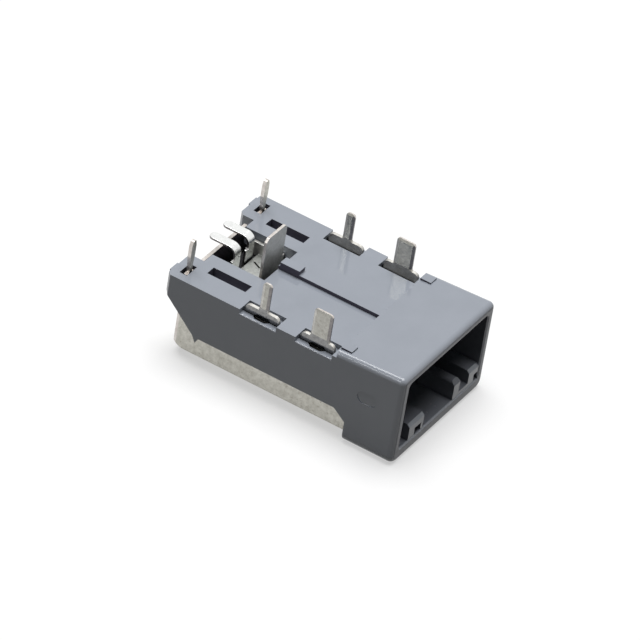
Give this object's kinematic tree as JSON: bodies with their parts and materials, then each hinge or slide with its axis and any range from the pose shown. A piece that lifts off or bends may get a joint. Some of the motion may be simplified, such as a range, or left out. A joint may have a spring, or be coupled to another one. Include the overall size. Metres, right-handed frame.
{
  "type": "shielded right-angle pin header",
  "caption": "Right-angle board header with a keyed plastic mouth, a folded metal shield with solder tails, a ground tab and flat signal contacts.",
  "frame": {"origin": "centre of the part's length and width, on the plane of the hood's lowest face", "axes": "+Z towards the circuit board, the way the solder tails point; -Y out of the mouth, where the plug leaves; +X across the width"},
  "size_m": [0.0138, 0.0222, 0.0106],
  "materials": {
    "housing": "moulded, semi-matte",
    "carrier": "moulded, matte",
    "shell": "dull tin plate",
    "shield": "dull tin plate",
    "contact": "bright tin plate"
  },
  "bodies": {
    "root": {"housing": "housing", "contact_carrier": "carrier", "shield_shell": "shell", "inner_shield": "shield", "signal_contact_left": "contact", "signal_contact_right": "contact"}
  },
  "joints": []
}
